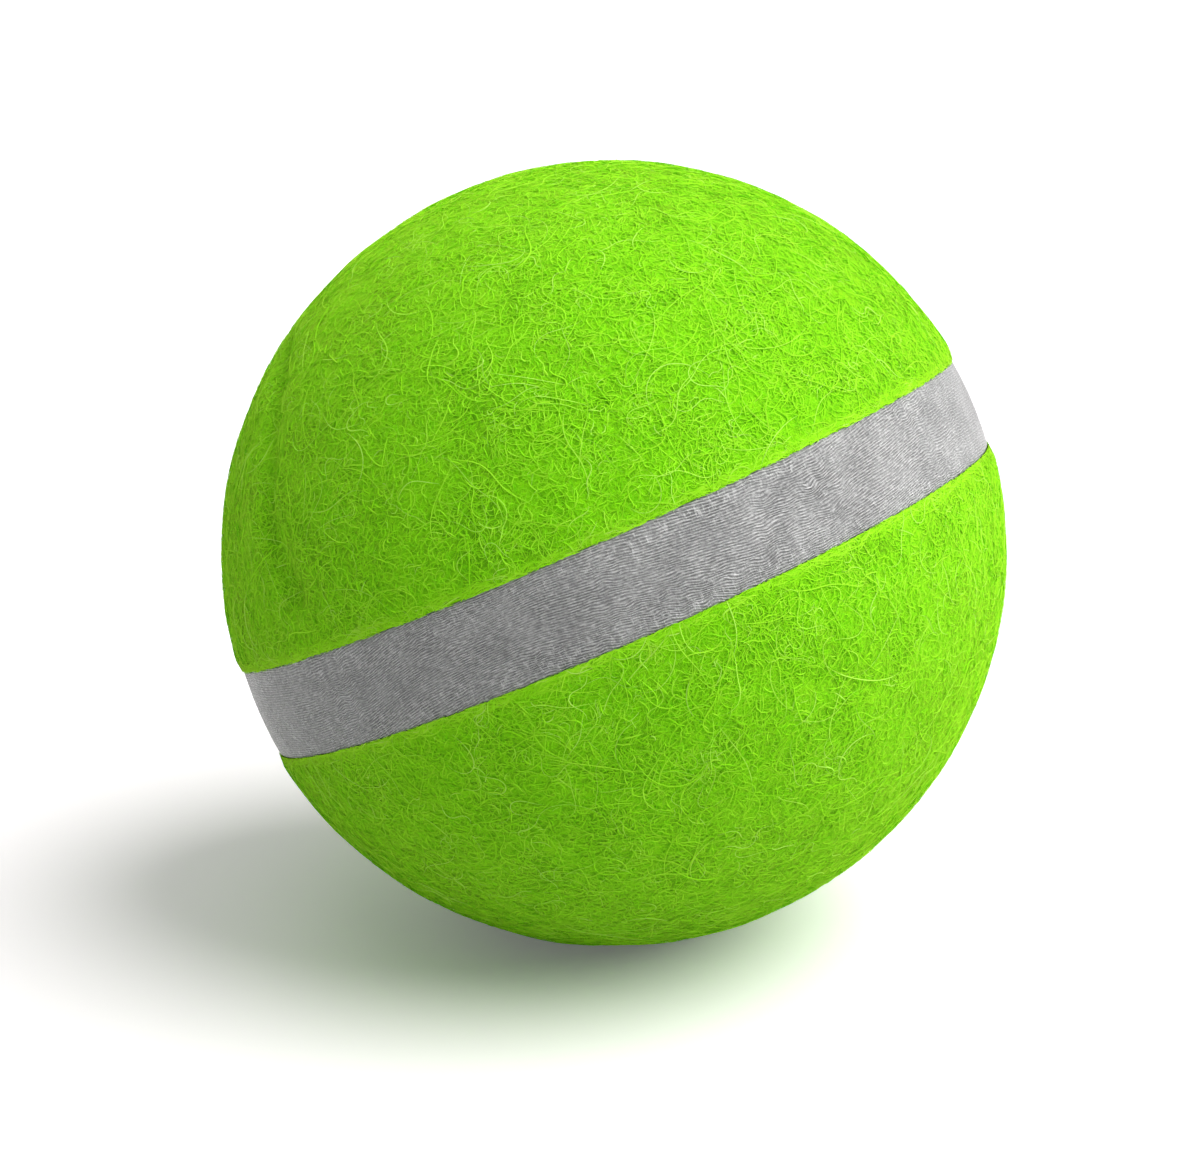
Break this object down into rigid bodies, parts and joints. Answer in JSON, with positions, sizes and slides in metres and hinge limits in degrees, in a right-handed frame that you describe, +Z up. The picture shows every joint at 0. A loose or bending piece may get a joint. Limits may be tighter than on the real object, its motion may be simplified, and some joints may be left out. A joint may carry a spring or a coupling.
{
  "type": "pet toy ball",
  "caption": "Self-rolling pet ball: two felt-covered half shells closed by a bayonet under a grey reflective band, with a geared, battery-driven pendulum drive hanging inside on two axles.",
  "frame": {"origin": "on the floor, under the ball's centre", "axes": "+Z up, the ball rolls about +Y, and the upper half leans towards -X"},
  "size_m": [0.085, 0.0842, 0.0845],
  "materials": {
    "lime_felt": "matte",
    "grey_tape": "matte",
    "white_shell": "satin",
    "steel": "satin",
    "nylon_gear": "satin",
    "brass": "satin",
    "bronze_bush": "satin",
    "grey_silicone": "matte",
    "graphite_bowl": "satin",
    "black_plastic": "satin",
    "blue_sleeve": "gloss",
    "green_board": "satin",
    "clear_lens": "gloss",
    "pale_deck": "satin",
    "lime_button": "satin",
    "red_lead": "satin",
    "black_lead": "satin"
  },
  "bodies": {
    "lower_half": {"lower_felt": "lime_felt", "reflective_band": "grey_tape", "lower_shell": "white_shell", "drive_axle": "steel", "output_gear": "nylon_gear", "idler_axle": "steel", "drive_washer": "nylon_gear", "idler_washer": "nylon_gear"},
    "seal": {"sealing_ring": "grey_silicone"},
    "upper_half": {"upper_felt": "lime_felt", "upper_shell": "white_shell"},
    "drive_unit": {"drive_bowl": "graphite_bowl", "drive_bush": "bronze_bush", "idler_bush": "bronze_bush", "gear_bulkhead": "graphite_bowl", "gear_cover": "graphite_bowl", "cover_screw_1": "steel", "cover_screw_2": "steel", "first_gear_pin": "steel", "second_gear_pin": "steel", "motor_can": "steel", "motor_end_cap": "black_plastic", "motor_screw_1": "steel", "motor_screw_2": "steel", "motor_lead_red": "red_lead", "motor_lead_black": "black_lead", "battery_cell": "blue_sleeve", "battery_cradle": "black_plastic", "battery_lead_red": "red_lead", "battery_lead_black": "black_lead", "ballast_weight": "steel", "circuit_board": "green_board", "board_screw_1": "steel", "board_screw_2": "steel", "charge_socket": "steel", "power_switch": "black_plastic", "status_light": "clear_lens", "motion_sensor": "steel", "control_chip": "black_plastic", "deck_lid": "pale_deck", "lid_screw_1": "steel", "lid_screw_2": "steel", "lid_screw_3": "steel", "lid_screw_4": "steel"},
    "second_gear": {"second_gear": "nylon_gear"},
    "first_gear": {"first_gear": "nylon_gear"},
    "motor_rotor": {"motor_pinion": "brass"},
    "button": {"power_button": "lime_button"}
  },
  "joints": [
    {"name": "upper_half_twist", "type": "hinge", "parent": "lower_half", "child": "seal", "pos_m": [0, 0, 0.042], "axis": [-0.4399, 0, 0.898], "range_deg": [0, 30]},
    {"name": "upper_half_lift", "type": "slide", "parent": "seal", "child": "upper_half", "axis": [-0.4399, 0, 0.898], "range_m": [0, 0.06]},
    {"name": "drive_roll", "type": "hinge", "parent": "lower_half", "child": "drive_unit", "pos_m": [0, 0, 0.042], "axis": [0, 1, 0], "continuous": true},
    {"name": "second_gear_spin", "type": "hinge", "parent": "drive_unit", "child": "second_gear", "pos_m": [-0.00952, 0, 0.03756], "axis": [0, 1, 0], "continuous": true},
    {"name": "first_gear_spin", "type": "hinge", "parent": "drive_unit", "child": "first_gear", "pos_m": [-0.00032, 0, 0.02985], "axis": [0, 1, 0], "continuous": true},
    {"name": "motor_spin", "type": "hinge", "parent": "drive_unit", "child": "motor_rotor", "pos_m": [0.00816, 0, 0.03833], "axis": [0, 1, 0], "continuous": true},
    {"name": "power_button_press", "type": "slide", "parent": "drive_unit", "child": "button", "axis": [0, 0, 1], "range_m": [-0.0006, 0], "stiffness_N_per_m": 400}
  ],
  "couplings": [
    {"joint": "second_gear_spin", "follows": "drive_roll", "ratio": 2.5},
    {"joint": "first_gear_spin", "follows": "drive_roll", "ratio": -7.5},
    {"joint": "motor_spin", "follows": "drive_roll", "ratio": 22.5}
  ]
}
